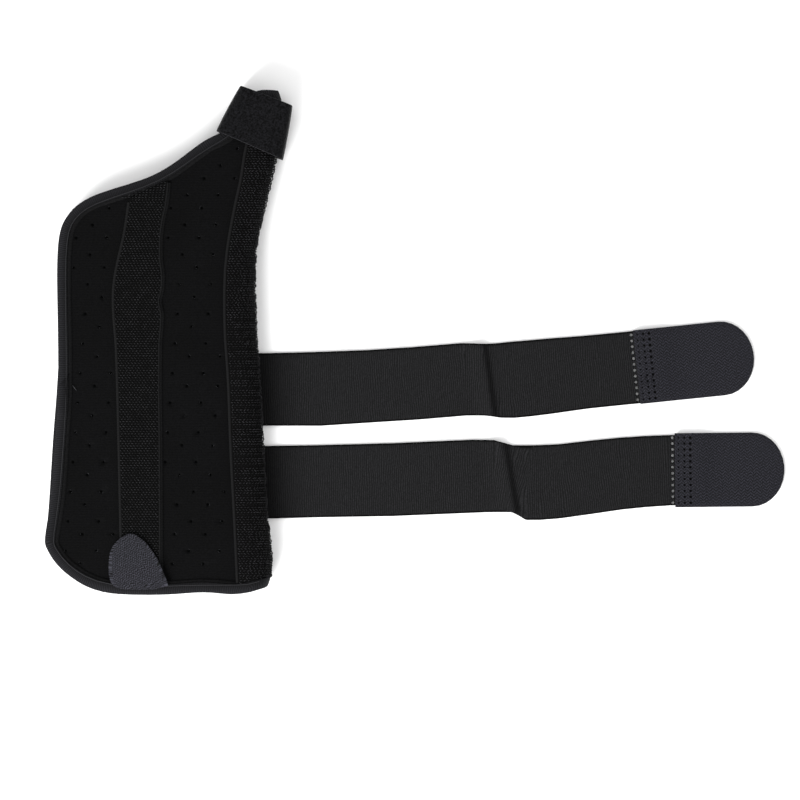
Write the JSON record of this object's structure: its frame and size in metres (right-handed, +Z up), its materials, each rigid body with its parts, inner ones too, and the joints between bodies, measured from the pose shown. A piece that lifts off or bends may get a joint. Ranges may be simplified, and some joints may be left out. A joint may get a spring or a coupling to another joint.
{
  "type": "thumb spica splint",
  "caption": "Wrist and thumb spica splint lying flat: folded perforated neoprene sleeve with bound edges, loop tapes, thumb band, pocket tab and elastic straps with hook ends.",
  "frame": {"origin": "on the floor, under the middle of the whole part's box", "axes": "+X from the sleeve's bound edges to the strap tips, +Y from the hem to the thumb, +Z up"},
  "size_m": [0.387, 0.266, 0.0214],
  "materials": {
    "neoprene": "matt brushed knit on perforated foam rubber, near black",
    "binding": "fine ribbed elastic binding, near black",
    "loop_tape": "black looped pile tape with woven selvages",
    "felt_tape": "black brushed loop fabric, felt-like",
    "strap_elastic": "dark charcoal woven elastic with a satin sheen",
    "hook_tape": "dark grey hook tape, herringbone woven back"
  },
  "bodies": {
    "root": {"front_panel": "neoprene", "back_panel": "neoprene", "front_binding": "binding", "back_binding": "binding", "centre_loop_tape": "loop_tape", "radial_loop_tape": "loop_tape", "thumb_band": "felt_tape", "pocket_tab": "hook_tape", "upper_strap": "strap_elastic", "lower_strap": "strap_elastic", "upper_hook_end": "hook_tape", "lower_hook_end": "hook_tape"}
  },
  "joints": []
}
